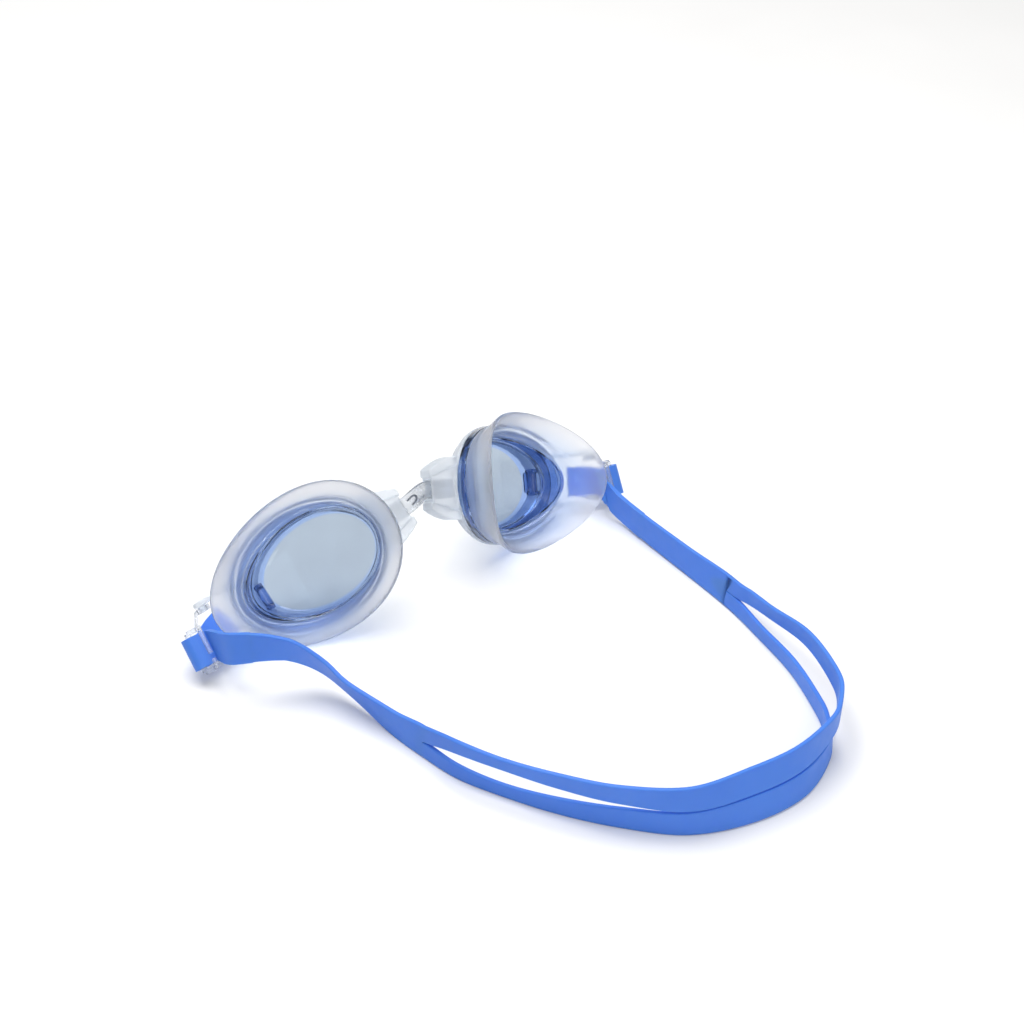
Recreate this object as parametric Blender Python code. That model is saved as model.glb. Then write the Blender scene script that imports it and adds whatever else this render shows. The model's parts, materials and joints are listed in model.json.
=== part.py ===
"""Swim goggles lying on a table: two eyecups, a nose bridge, two strap buckles and a split strap.

Metres, +Z up, the table at Z = 0. Each eyecup is drawn in its own axes: u runs from the nose to the
temple, v up the wearer's face and n from the front window towards the face. The left cup is the
mirror image of the right one.
"""
from collections import namedtuple
from math import cos, pi, radians, sin

import bmesh
import bpy
from mathutils import Euler, Matrix, Vector

MM = 0.001
GAP = 0.3                       # mm, clearance between touching pieces

# Where the goggles lie. Angles in degrees, places in mm.
SHIFT = Vector((1.6, -29.9, 0.0))                 # puts the origin under the middle of the object
CUP_PLACE = {"left": Vector((-66.0, 36.0, 28.0)), "right": Vector((4.5, 87.0, 26.5))}
CUP_TURN = {"left": (49.0, -26.0, 21.0), "right": (64.0, 24.0, 48.0)}
SIDES = {"left": -1, "right": 1}

# Eyecup outlines, mm. An oval's half length runs along u and its half height along v; egg makes the
# nose end fuller, shift moves it along u, and its edge runs at depth + saddle * cos(angle)^2 along n.
Oval = namedtuple("Oval", "length height egg shift depth saddle")
OVAL_POINTS = 56
RIM = Oval(33.0, 24.3, 0.09, 0.0, 0.0, 10.8)          # outer edge of the face seal
COLLAR = Oval(23.4, 15.9, 0.06, -1.4, -10.1, 9.0)     # rear edge of the lens wall, inside
LENS_RIM = Oval(26.5, 20.8, 0.0, 0.7, -12.3, 4.7)     # rear edge of the lens's outward rim
WINDOW = Oval(20.4, 14.1, 0.06, -2.2, -15.6, 0.0)     # flat front window
FOOT = Oval(22.8, 16.1, 0.06, -1.8, -12.3, 4.7)       # lens wall's outside, where the rim leaves it
WALL = 1.2                                            # lens wall at the collar
RIM_THICK = 1.3                                       # lens rim, along n

# Temple hinge and buckle, mm
HINGE = Vector((35.5, 0.0, 2.0))                      # middle of the buckle's swivel axis, in u, v, n
BUCKLE_TILT = 22.5                                    # buckle's slope towards the face
BUCKLE_PULL = {"left": (-4.0, 6.0), "right": (-1.5, 12.0)}   # the strap moves its bars and turns them
BUCKLE_HALF = 6.1                                     # inner half width
ARM_WIDE = 1.5
ARM_THICK = 2.4
ARM_STRAIGHT = 2.8                                    # of each arm, past the hinge
INSET = 0.1                                           # keeps joined faces out of one plane
HAIR = 0.05
BAR_AT = 9.6                                          # outer bar, from the hinge
BAR_RADIUS = 1.0
HOOK_AT = -3.4                                        # split inner bar, from the outer bar
HOOK_LENGTH = 1.5
HOOK_LEVEL = 3.75                                     # its middle, above the arms
HOOK_THICK = 1.3
HOOK_SPLIT = (-4.0, -2.2)                             # the gap between its two halves
EAR_THICK = 1.8
EYE_RADIUS = 2.4
PIN_RADIUS = 1.0

# Nose lug and bridge, mm
LUG_END = Vector((-36.5, 0.0, -13.2))
BRIDGE_HIGH = 6.0
BRIDGE_THICK = 2.0
BRIDGE_INSIDE = 7.5                                   # how far each end sits in its pocket
POCKET_DEEP = {"left": 8.0, "right": 10.5}            # the right one has room to adjust
BRIDGE_STEPS = 14

# Strap, mm
STRAP_THICK = 1.5
STRAP_WIDE = 10.6
STRAP_YAW = {"left": (-20.0, 24.0), "right": (-14.0, 0.0)}   # of tail and run, off the bar's square
RUN_LEAVES = {"left": (6.0, 1.0), "right": (8.5, 2.8)}     # back from the bar, and how much higher
STEPS_PER_SPAN = 5

# The strap's route over the table between the buckles, from left to right: the point under its lower
# edge, how far its lower and upper halves lean out of the loop (degrees), the width of one half or
# band, the gap between the two bands, and how far the upper band bulges out past the lower one.
Stop = namedtuple("Stop", "x y z lean_low lean_up band gap out")
ROUTE = [
    Stop(-89.5, 6.4, 11.4, -16, -16, 5.3, 0.0, 0.0),
    Stop(-82.0, 6.8, 12.6, -8, -8, 5.3, 0.0, 0.0),
    Stop(-72.0, 8.5, 12.2, 15, 15, 5.3, 0.0, 0.0),
    Stop(-61.0, 8.0, 8.0, 26, 26, 5.4, 0.0, 0.0),
    Stop(-50.0, 0.7, 3.4, 24, 24, 5.5, 0.0, 0.0),
    Stop(-37.0, -13.4, 0.2, 4, 4, 5.4, 0.0, 0.0),
    Stop(-27.0, -23.8, 0.2, -3, -3, 5.9, 0.0, 0.0),
    Stop(-16.0, -33.6, 0.1, 0, 5, 5.5, 4.9, 0.0),
    Stop(-2.0, -41.5, 0.1, 0, 8, 4.9, 6.6, 0.0),
    Stop(14.0, -48.8, 0.1, 0, 8, 6.2, 4.6, 0.0),
    Stop(32.0, -54.5, 0.1, 0, 8, 7.7, 2.0, 0.0),
    Stop(52.0, -57.5, 0.1, 0, -5, 8.7, 0.4, 0.0),
    Stop(72.0, -52.2, 0.3, -12, -15, 9.0, 0.4, 0.0),
    Stop(88.0, -41.0, 0.3, -12, -12, 8.8, 0.5, 0.0),
    Stop(97.0, -24.5, 0.2, -4, 0, 8.2, 0.8, 0.8),
    Stop(97.5, -13.0, 0.1, 0, 3, 7.6, 2.0, 3.2),
    Stop(96.0, -3.0, 0.1, 0, 3, 7.0, 3.0, 4.6),
    Stop(90.5, 16.0, 0.1, 0, 0, 6.2, 4.0, 4.4),
    Stop(82.0, 34.0, 0.1, 0, -5, 5.5, 2.5, 3.0),
    Stop(73.0, 50.5, 0.3, 10, 10, 5.6, 0.0, 0.0),
    Stop(60.0, 70.0, 0.3, 4, 4, 5.3, 0.0, 0.0),
    Stop(45.8, 90.0, 1.0, -2, -2, 5.3, 0.0, 0.0),
    Stop(36.6, 102.0, 3.0, -4, -4, 5.3, 0.0, 0.0),
]

FINISHES = {
    "lens": ((0.42, 0.60, 0.86, 1.0), 0.05),
    "gasket": ((0.82, 0.86, 0.93, 1.0), 0.45),
    "frame": ((0.86, 0.89, 0.93, 1.0), 0.25),
    "bridge": ((0.88, 0.90, 0.94, 1.0), 0.20),
    "buckle": ((0.90, 0.92, 0.95, 1.0), 0.10),
    "strap": ((0.10, 0.25, 0.80, 1.0), 0.50),
}


# ---------------------------------------------------------------- scene and small helpers

def clear_scene():
    for item in list(bpy.data.objects):
        bpy.data.objects.remove(item, do_unlink=True)


def new_collection(name):
    collection = bpy.data.collections.new(name)
    bpy.context.scene.collection.children.link(collection)
    return collection


def material(slot):
    found = bpy.data.materials.get(slot)
    if found:
        return found
    colour, roughness = FINISHES[slot]
    made = bpy.data.materials.new(slot)
    made.use_nodes = True
    shader = made.node_tree.nodes["Principled BSDF"]
    shader.inputs["Base Color"].default_value = colour
    shader.inputs["Roughness"].default_value = roughness
    shader.inputs["Metallic"].default_value = 0.0
    made.diffuse_color = colour
    return made


def object_from(name, bm, collection, slot=None):
    """Turn a bmesh in mm into an object in metres, with its faces pointing out."""
    bmesh.ops.recalc_face_normals(bm, faces=bm.faces)
    bmesh.ops.scale(bm, vec=(MM, MM, MM), verts=bm.verts)
    mesh = bpy.data.meshes.new(name)
    bm.to_mesh(mesh)
    bm.free()
    made = bpy.data.objects.new(name, mesh)
    collection.objects.link(made)
    if slot:
        mesh.materials.append(material(slot))
    return made


def boolean(target, tool, operation):
    """Cut a tool out of the target, or join it on, with a live modifier."""
    tool.hide_render = True
    tool.display_type = "WIRE"
    modifier = target.modifiers.new(tool.name, "BOOLEAN")
    modifier.operation = operation
    modifier.solver = "EXACT"
    modifier.object = tool


def mirror_bmesh(bm, side):
    """Mirror a shape drawn for the right cup over to the left one."""
    if side < 0:
        bmesh.ops.scale(bm, vec=(-1, 1, 1), verts=bm.verts)


# ---------------------------------------------------------------- eyecup shapes

def grown(oval, outward, depth=None, saddle=None):
    """The same oval, wider by an equal amount all round, at another depth if one is given."""
    return oval._replace(length=oval.length + outward, height=oval.height + outward,
                         depth=oval.depth if depth is None else depth,
                         saddle=oval.saddle if saddle is None else saddle)


def oval_point(oval, angle):
    c = cos(angle)
    return Vector((oval.length * c + oval.shift,
                   oval.height * sin(angle) * (1 - oval.egg * c),
                   oval.depth + oval.saddle * c * c))


def loft_ovals(ovals, closed):
    """Skin a stack of ovals: closed joins the last to the first, else flat ends close it."""
    bm = bmesh.new()
    rings = [[bm.verts.new(oval_point(oval, 2 * pi * k / OVAL_POINTS)) for k in range(OVAL_POINTS)]
             for oval in ovals]
    pairs = list(zip(rings, rings[1:] + rings[:1])) if closed else list(zip(rings, rings[1:]))
    for near, far in pairs:
        for k in range(OVAL_POINTS):
            j = (k + 1) % OVAL_POINTS
            bm.faces.new((near[k], near[j], far[j], far[k]))
    if not closed:
        bm.faces.new(rings[0])
        bm.faces.new(rings[-1])
    return bm


def lens_ovals():
    """Front window, front wall, outward rim, collar outside, collar inside, back of the window."""
    rim_front = LENS_RIM.depth - RIM_THICK
    return [
        WINDOW,
        grown(WINDOW, 1.0, WINDOW.depth + 0.5),
        grown(FOOT, -0.2, rim_front),
        grown(LENS_RIM, 0.0, rim_front),
        LENS_RIM,
        FOOT,
        grown(COLLAR, WALL),
        COLLAR,
        grown(WINDOW, -0.2, WINDOW.depth + 2.2),
        grown(WINDOW, -1.2, WINDOW.depth + 1.4),
    ]


def gasket_ovals():
    """Round the seal's section: outside from the lens rim to the edge, inside back to the collar."""
    front = LENS_RIM.depth + GAP
    lip = COLLAR.depth + GAP
    return [
        grown(LENS_RIM, 0.0, front),
        Oval(27.4, 20.9, 0.01, 0.2, -9.0, 6.2),
        Oval(28.9, 21.7, 0.04, 0.3, -6.0, 8.4),
        Oval(31.2, 23.3, 0.07, 0.1, -2.6, 9.7),
        grown(RIM, 0.0, RIM.depth - 0.6),
        grown(RIM, 0.0, RIM.depth + 0.2),
        grown(RIM, -0.8, RIM.depth + 0.6),
        Oval(29.6, 21.2, 0.09, -0.3, -2.6, 10.5),
        Oval(26.3, 18.4, 0.07, -0.9, -6.6, 9.7),
        grown(COLLAR, GAP, lip),
        grown(COLLAR, WALL + GAP, lip),
        grown(FOOT, GAP + 0.1, front),
    ]


def frame_ovals():
    """Round the front ring's section, from the window side outwards."""
    seat = LENS_RIM.depth - RIM_THICK - GAP
    return [
        grown(WINDOW, 1.6, -16.4, 2.6),
        Oval(24.9, 18.4, 0.02, -0.3, -16.8, 3.0),
        Oval(26.3, 20.7, 0.0, 0.6, -15.4, 3.8),
        grown(LENS_RIM, 0.2, seat),
        grown(FOOT, 0.6, seat),
    ]


def clearance_ovals():
    """The space the lens and the seal fill inside the front ring, a hair smaller than the ring."""
    front, *_, seat_in = frame_ovals()
    inner = grown(seat_in, -HAIR, seat_in.depth + HAIR)
    wide = grown(LENS_RIM, 0.8, inner.depth)
    return [
        grown(front, -HAIR, -30.0, 0.0),
        grown(front, -HAIR),
        inner,
        wide,
        grown(wide, 0.0, 0.0, 0.0),
    ]


# ---------------------------------------------------------------- nose lug, ears and buckle

def loft_boxes(sections):
    """A tapered block through rectangles (u, half v, low n, high n)."""
    bm = bmesh.new()
    rings = [[bm.verts.new(corner) for corner in
              ((u, -half, low), (u, half, low), (u, half, high), (u, -half, high))]
             for u, half, low, high in sections]
    skin_rings(bm, rings)
    return bm


def box(low, high, turn=Matrix.Identity(4)):
    bm = bmesh.new()
    low, high = Vector(low), Vector(high)
    bmesh.ops.create_cube(bm, size=1.0)
    bmesh.ops.scale(bm, vec=high - low, verts=bm.verts)
    bmesh.ops.translate(bm, vec=(high + low) / 2, verts=bm.verts)
    bmesh.ops.transform(bm, matrix=turn, verts=bm.verts)
    return bm


def rod(start, end, radius, turn=Matrix.Identity(4), sides=20):
    """A round bar along v between two v values, through the u and n of its start."""
    bm = bmesh.new()
    bmesh.ops.create_cone(bm, cap_ends=True, segments=sides, radius1=radius, radius2=radius,
                          depth=abs(end.y - start.y))
    bmesh.ops.rotate(bm, cent=(0, 0, 0), matrix=Matrix.Rotation(pi / 2, 3, "X"), verts=bm.verts)
    bmesh.ops.translate(bm, vec=(start + end) / 2, verts=bm.verts)
    bmesh.ops.transform(bm, matrix=turn, verts=bm.verts)
    return bm


BUCKLE_TURN = Matrix.Rotation(radians(-BUCKLE_TILT), 4, "Y")


def bars_turn(name):
    """The bars' axes seen from the hinge: along the buckle, across it, and out towards the face."""
    pull, turn = BUCKLE_PULL[name]
    return BUCKLE_TURN @ Matrix.Translation((BAR_AT, pull, 0)) @ Matrix.Rotation(radians(turn), 4, "Z")


def nose_lug(name, cutters):
    """Tapered block at the nose end of a front ring, less the bridge's pocket."""
    end = LUG_END
    lug = loft_boxes([
        (-20.0, 8.0, end.z - 0.6, end.z + 3.4),
        (-27.0, 7.6, end.z - 1.6, end.z + 3.2),
        (-31.0, 6.2, end.z - 2.3, end.z + 2.7),
        (end.x, 4.9, end.z - 2.2, end.z + 2.2),
    ])
    mirror_bmesh(lug, SIDES[name])
    return object_from(name + "_nose_lug", lug, cutters)


def pocket(name, cutters):
    half = BRIDGE_HIGH / 2 + GAP
    thin = BRIDGE_THICK / 2 + GAP
    shape = box((LUG_END.x - 3, -half, LUG_END.z - thin),
                (LUG_END.x + POCKET_DEEP[name], half, LUG_END.z + thin))
    mirror_bmesh(shape, SIDES[name])
    return object_from(name + "_pocket", shape, cutters)


def beam(centres, directions, half_wide, half_thick):
    """A bar of rectangular section through some points, with the across and up directions given."""
    wide, up = directions
    bm = bmesh.new()
    rings = [[bm.verts.new(centre + wide * (half_wide * a) + up * (half_thick * b))
              for a, b in ((1, 1), (1, -1), (-1, -1), (-1, 1))] for centre in centres]
    skin_rings(bm, rings)
    return bm


def skin_rings(bm, rings):
    """Join four-cornered rings one after another and close both ends."""
    for near, far in zip(rings, rings[1:]):
        for k in range(4):
            j = (k + 1) % 4
            bm.faces.new((near[k], near[j], far[j], far[k]))
    bm.faces.new(rings[0])
    bm.faces.new(rings[-1])


def ear(name, across, cutters):
    """A flat ear from the front ring's temple end to the hinge, its round end, and its pin."""
    inner = BUCKLE_HALF + ARM_WIDE + INSET + GAP
    middle = across * (inner + EAR_THICK / 2)
    rise = Vector((0.62, 0.0, 0.78))
    across_plate = rise.cross(Vector((0, 1, 0))).normalized()
    plate = beam([Vector((21.0, middle, -11.5)), Vector((29.0, middle, -6.5)),
                  HINGE + Vector((-1.5, middle, -1.5)), HINGE + Vector((0, middle, 0))],
                 (across_plate, Vector((0, 1, 0))), EYE_RADIUS - INSET, EAR_THICK / 2 - INSET)
    eye = rod(Vector((0, across * inner, 0)), Vector((0, across * (inner + EAR_THICK), 0)), EYE_RADIUS)
    pin = rod(Vector((0, across * (BUCKLE_HALF + INSET), 0)),
              Vector((0, across * (inner + EAR_THICK / 2), 0)), PIN_RADIUS)
    label = "up" if across > 0 else "down"
    made = []
    for part, shape, move in (("ear", plate, 0), ("eye", eye, HINGE), ("pin", pin, HINGE)):
        if move:
            bmesh.ops.translate(shape, vec=move, verts=shape.verts)
        mirror_bmesh(shape, SIDES[name])
        made.append(object_from(f"{name}_{part}_{label}", shape, cutters))
    return made


def make_frame(name, parts, cutters):
    """The front ring with its nose lug and temple ears, and the tools that shape it."""
    ring = loft_ovals(frame_ovals(), closed=True)
    mirror_bmesh(ring, SIDES[name])
    frame = object_from(name + "_frame", ring, parts, "frame")
    space = loft_ovals(clearance_ovals(), closed=False)
    mirror_bmesh(space, SIDES[name])
    space = object_from(name + "_clearance", space, cutters)
    additions = [nose_lug(name, cutters)] + ear(name, 1, cutters) + ear(name, -1, cutters)
    for addition in additions:
        if "_eye_" not in addition.name and "_pin_" not in addition.name:
            boolean(addition, space, "DIFFERENCE")
        boolean(frame, addition, "UNION")
    hole = pocket(name, cutters)
    boolean(frame, hole, "DIFFERENCE")
    return [frame, space, hole] + additions


def make_buckle(name, parts, cutters):
    """Two arms from the hinge, a round outer bar, and a split inner bar raised on two posts."""
    bars = bars_turn(name)
    side = SIDES[name]
    half, wide = BUCKLE_HALF, ARM_WIDE
    top, bottom = HOOK_LEVEL + HOOK_THICK / 2, HOOK_LEVEL - HOOK_THICK / 2
    hook_low, hook_high = HOOK_AT - HOOK_LENGTH / 2, HOOK_AT + HOOK_LENGTH / 2
    reach = half + wide / 2
    shapes = []
    for across in (1, -1):
        hinge_end, bar_end = Vector((0, across * reach, 0)), bars @ Vector((0, across * reach, 0))
        post_at = bars @ Vector((HOOK_AT, across * reach, 0))
        up = BUCKLE_TURN.to_3x3() @ Vector((0, 0, 1))
        straight = BUCKLE_TURN @ Vector((ARM_STRAIGHT, across * reach, 0))
        shapes.append(beam([hinge_end, straight, post_at, bar_end], (Vector((0, 1, 0)), up),
                           wide / 2, ARM_THICK / 2))
        shapes.append(rod(Vector((0, across * (half - INSET), 0)),
                          Vector((0, across * (half + wide + INSET), 0)), EYE_RADIUS))
        posts = sorted((across * (half + INSET), across * (half + wide - INSET)))
        shapes.append(box((hook_low + INSET, posts[0], 0.0),
                          (hook_high - INSET, posts[1], top - INSET), bars))
        gap_end = HOOK_SPLIT[1] if across > 0 else HOOK_SPLIT[0]
        halves = sorted((gap_end, across * (half + wide - 2 * INSET)))
        shapes.append(box((hook_low, halves[0], bottom), (hook_high, halves[1], top), bars))
    shapes.append(rod(Vector((0, -reach, 0)), Vector((0, reach, 0)), BAR_RADIUS, bars))
    bore = rod(Vector((0, -half - wide - 2, 0)), Vector((0, half + wide + 2, 0)), PIN_RADIUS + GAP)
    for shape in shapes + [bore]:
        mirror_bmesh(shape, side)
    buckle = object_from(name + "_clip", shapes[0], parts, "buckle")
    tools = [object_from(f"{name}_clip_{k}", shape, cutters)
             for k, shape in enumerate(shapes[1:], 1)]
    for tool in tools:
        boolean(buckle, tool, "UNION")
    tools.append(object_from(name + "_clip_bore", bore, cutters))
    boolean(buckle, tools[-1], "DIFFERENCE")
    return buckle, tools


def make_cup(name, assembly, parts, cutters):
    """One eyecup under its own empty, which sets where it lies."""
    holder = bpy.data.objects.new(name + "_cup", None)
    parts.objects.link(holder)
    holder.parent = assembly
    holder.location = CUP_PLACE[name] * MM
    holder.rotation_euler = [radians(a) for a in CUP_TURN[name]]
    lens = loft_ovals(lens_ovals(), closed=False)
    gasket = loft_ovals(gasket_ovals(), closed=True)
    for slot, shape in (("lens", lens), ("gasket", gasket)):
        mirror_bmesh(shape, SIDES[name])
        object_from(f"{name}_{slot}", shape, parts, slot).parent = holder
    for item in make_frame(name, parts, cutters):
        item.parent = holder
    buckle, tools = make_buckle(name, parts, cutters)
    for item in [buckle] + tools:
        item.parent = holder
        item.location = Vector((SIDES[name] * HINGE.x, HINGE.y, HINGE.z)) * MM


def in_world(name, point):
    """A point in a cup's own u, v, n, in mm over the table, before the assembly's shift."""
    mirrored = Vector((SIDES[name] * point.x, point.y, point.z))
    turn = Euler([radians(a) for a in CUP_TURN[name]]).to_matrix()
    return CUP_PLACE[name] + turn @ mirrored


# ---------------------------------------------------------------- bridge and strap

def smooth(rows, steps):
    """A Catmull-Rom curve through rows of numbers, with steps points to each span."""
    padded = [rows[0]] + rows + [rows[-1]]
    out = []
    for a, b, c, d in zip(padded, padded[1:], padded[2:], padded[3:]):
        for k in range(steps):
            t = k / steps
            out.append([0.5 * (2 * q + (r - p) * t + (2 * p - 5 * q + 4 * r - s) * t * t
                               + (3 * q - p - 3 * r + s) * t ** 3)
                        for p, q, r, s in zip(a, b, c, d)])
    return out + [list(rows[-1])]


def make_bridge(parts, assembly):
    """A flat strip that bends and twists from one nose lug's pocket to the other's."""
    ends = {}
    for name in SIDES:
        mouth = in_world(name, LUG_END)
        inside = in_world(name, LUG_END + Vector((BRIDGE_INSIDE, 0, 0)))
        high = (in_world(name, LUG_END + Vector((0, 1, 0))) - mouth).normalized()
        ends[name] = (mouth, (mouth - inside).normalized(), high)
    (start, leave, high_a), (finish, arrive, high_b) = ends["left"], ends["right"]
    reach = (finish - start).length
    stations = [(start - leave * BRIDGE_INSIDE, high_a, leave)]
    for k in range(BRIDGE_STEPS + 1):
        t = k / BRIDGE_STEPS
        h1, h2 = 2 * t ** 3 - 3 * t ** 2 + 1, t ** 3 - 2 * t ** 2 + t
        h3, h4 = 3 * t ** 2 - 2 * t ** 3, t ** 3 - t ** 2
        place = start * h1 + leave * (reach * h2) + finish * h3 - arrive * (reach * h4)
        slope = (start * (6 * t * t - 6 * t) + leave * (reach * (3 * t * t - 4 * t + 1))
                 + finish * (6 * t - 6 * t * t) - arrive * (reach * (3 * t * t - 2 * t)))
        stations.append((place, high_a.lerp(high_b, h3), slope))
    stations.append((finish - arrive * BRIDGE_INSIDE, high_b, -arrive))
    bm = bmesh.new()
    rings = []
    for place, high, along in stations:
        along = along.normalized()
        up = (high - along * high.dot(along)).normalized() * (BRIDGE_HIGH / 2)
        out = along.cross(up).normalized() * (BRIDGE_THICK / 2)
        rings.append([bm.verts.new(place + up * a + out * b)
                      for a, b in ((1, 1), (1, -1), (-1, -1), (-1, 1))])
    skin_rings(bm, rings)
    object_from("nose_bridge", bm, parts, "bridge").parent = assembly


def buckle_stations(name):
    """The strap's tail and its turn round the outer bar, from the tail's end to the run.

    Each place is given from the bar: how far back towards the cup, how high over the bar's middle,
    and how much of the tail's or the run's slant it has reached.
    """
    level = BAR_RADIUS + GAP + STRAP_THICK / 2
    tail_yaw, run_yaw = (radians(a) for a in STRAP_YAW[name])
    tail = [(17.0, -level - 2.2, 1.0), (12.0, -level - 1.8, 1.0), (7.5, -level - 1.4, 0.8),
            (3.5, -level - 0.5, 0.15)]
    arc = [(-level * cos(a), level * sin(a), 0.0) for a in (radians(k) for k in range(-90, 91, 30))]
    back, rise = RUN_LEAVES[name]
    run = [(4.2, level + 0.1, 0.0), (back, level + rise, 0.1)]
    places = [(back, high, tail_yaw * share) for back, high, share in tail + arc]
    places += [(back, high, run_yaw * share) for back, high, share in run]
    frame = Matrix.Translation(HINGE) @ bars_turn(name)
    half = STRAP_WIDE / 2
    stations = []
    for back, high, yaw in places:
        middle = Vector((-back * cos(yaw), -back * sin(yaw), high))
        width = Vector((-sin(yaw), cos(yaw), 0)) * half
        foot, head = in_world(name, frame @ (middle - width)), in_world(name, frame @ (middle + width))
        up = (head - foot).normalized()
        stations.append([*foot, *up, *up, half, 0.0, 0.0])
    return stations


def route_stations():
    """The strap's stops on the table: foot point, directions of both halves, band, gap and bulge."""
    spots = [Vector((stop.x, stop.y, stop.z)) for stop in ROUTE]
    stations = []
    for k, stop in enumerate(ROUTE):
        along = (spots[min(k + 1, len(spots) - 1)] - spots[max(k - 1, 0)]).normalized()
        outward = along.cross(Vector((0, 0, 1))).normalized()
        upright = outward.cross(along)
        low, up = (upright * cos(radians(lean)) + outward * sin(radians(lean))
                   for lean in (stop.lean_low, stop.lean_up))
        stations.append([*spots[k], *low, *up, stop.band, stop.gap, stop.out])
    return stations


def make_strap(parts, assembly):
    """One band that splits into two at the back of the head and joins again."""
    rows = buckle_stations("left") + route_stations() + buckle_stations("right")[::-1]
    rows = smooth(rows, STEPS_PER_SPAN)
    spots = [Vector(row[:3]) for row in rows]
    bm = bmesh.new()
    sections = []
    for k, row in enumerate(rows):
        along = spots[min(k + 1, len(spots) - 1)] - spots[max(k - 1, 0)]
        low, up = Vector(row[3:6]).normalized(), Vector(row[6:9]).normalized()
        outward = along.cross(Vector((0, 0, 1))).normalized()
        band, gap, bulge = row[9], max(row[10], 0.0), max(row[11], 0.0)
        split = gap > 0.05
        out_low = along.cross(low).normalized() * (STRAP_THICK / 2)
        out_up = along.cross(up).normalized() * (STRAP_THICK / 2)
        foot, middle = spots[k], spots[k] + low * band
        start = middle + up * gap + outward * bulge
        head = start + up * band
        lower = [bm.verts.new(foot + out_low), bm.verts.new(foot - out_low)]
        lower_top = [bm.verts.new(middle + out_low), bm.verts.new(middle - out_low)]
        upper_bottom = lower_top
        if split:
            upper_bottom = [bm.verts.new(start + out_up), bm.verts.new(start - out_up)]
        upper = [bm.verts.new(head + out_up), bm.verts.new(head - out_up)]
        sections.append((lower, lower_top, upper_bottom, upper, split))
    for near, far in zip(sections, sections[1:]):
        skin_span(bm, near, far)
    for lower, middle, _, upper, _ in (sections[0], sections[-1]):
        bm.faces.new((lower[0], lower[1], middle[1], middle[0]))
        bm.faces.new((middle[0], middle[1], upper[1], upper[0]))
    object_from("strap", bm, parts, "strap").parent = assembly


def skin_span(bm, near, far):
    """Faces between two sections; the slit's own walls appear where either section is split."""
    for a, b in ((0, 1), (2, 3)):
        for k in (0, 1):
            bm.faces.new((near[a][k], near[b][k], far[b][k], far[a][k]))
    for ring in (0, 3):
        bm.faces.new((near[ring][0], near[ring][1], far[ring][1], far[ring][0]))
    if near[4] or far[4]:
        for ring in (1, 2):
            bm.faces.new((near[ring][0], near[ring][1], far[ring][1], far[ring][0]))


def main():
    clear_scene()
    parts = new_collection("swim_goggles")
    cutters = new_collection("cutters")
    assembly = bpy.data.objects.new("goggles", None)
    parts.objects.link(assembly)
    assembly.location = SHIFT * MM
    for name in SIDES:
        make_cup(name, assembly, parts, cutters)
    make_bridge(parts, assembly)
    make_strap(parts, assembly)


main()
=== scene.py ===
"""Swim goggles lying on a white table: the finished looks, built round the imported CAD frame.

Shapes are worked out in millimetres and written to the meshes in metres. Each eyecup has its own axes,
read from the record: u from the nose to the temple, v up the wearer's face and n towards the face.
"""
import json
from collections import namedtuple
from math import cos, pi, radians, sin

import bmesh
import bpy
from mathutils import Matrix, Vector


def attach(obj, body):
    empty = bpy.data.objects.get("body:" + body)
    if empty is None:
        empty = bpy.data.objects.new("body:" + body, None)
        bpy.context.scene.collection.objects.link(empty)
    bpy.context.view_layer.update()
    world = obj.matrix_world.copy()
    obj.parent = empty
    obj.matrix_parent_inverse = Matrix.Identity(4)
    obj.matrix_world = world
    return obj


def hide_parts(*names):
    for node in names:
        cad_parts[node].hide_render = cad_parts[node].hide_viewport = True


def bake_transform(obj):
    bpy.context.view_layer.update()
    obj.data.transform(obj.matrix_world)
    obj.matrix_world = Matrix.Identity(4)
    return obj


MM = 0.001
SIDES = {"left": -1, "right": 1}

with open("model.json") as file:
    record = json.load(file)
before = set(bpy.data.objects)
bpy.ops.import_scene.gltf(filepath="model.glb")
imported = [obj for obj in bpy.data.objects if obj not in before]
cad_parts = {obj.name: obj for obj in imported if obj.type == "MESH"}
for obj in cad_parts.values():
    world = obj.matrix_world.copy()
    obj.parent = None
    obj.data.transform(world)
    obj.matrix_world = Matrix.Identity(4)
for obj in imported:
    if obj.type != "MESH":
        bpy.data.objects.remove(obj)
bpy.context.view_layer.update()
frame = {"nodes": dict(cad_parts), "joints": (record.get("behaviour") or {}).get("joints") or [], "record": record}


# ---------------------------------------------------------------- dimensions, mm

Oval = namedtuple("Oval", "length height egg shift depth saddle")      # half length and half height
OVAL_POINTS = 128
PROFILE_STEPS = 4               # rings between two ovals of a smooth skin
SEAL_LENGTH = 33.0              # halves of the seal's widest oval
SEAL_HEIGHT = 24.3
BOSS_BLOCKS = [((18.3, 3.9, -10.6), (2.6, 1.1, 4.6)), ((18.3, -3.9, -10.6), (2.6, 1.1, 4.6)),
               ((17.4, 0.0, -12.6), (1.4, 7.0, 2.2))]                   # middle and size
BARREL_RADIUS = 1.7
BARREL_LENGTH = 9.4
BARREL_PLACE = (18.4, 0.0, -10.9)
WINDOW_SHIFT = -2.2
WINDOW_DEPTH = -15.6
HINGE_U = 35.5
HINGE_N = 2.0
LUG_END = Vector((-36.5, 0.0, -13.2))
Shoulder = namedtuple("Shoulder", "u inner outer low high")
SHOULDERS = [
    Shoulder(-23.0, 6.8, 10.8, -14.4, -10.3),
    Shoulder(-27.0, 6.4, 10.6, -15.4, -10.4),
    Shoulder(-31.0, 5.2, 9.4, -15.8, -10.8),
    Shoulder(-34.5, 4.4, 8.0, -15.8, -11.0),
    Shoulder(-37.2, 4.0, 6.6, -15.5, -11.2),
]
BRIDGE_HIGH = 6.0
BRIDGE_THICK = 2.0
BRIDGE_INSIDE = 7.5
BRIDGE_STEPS = 28
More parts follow.
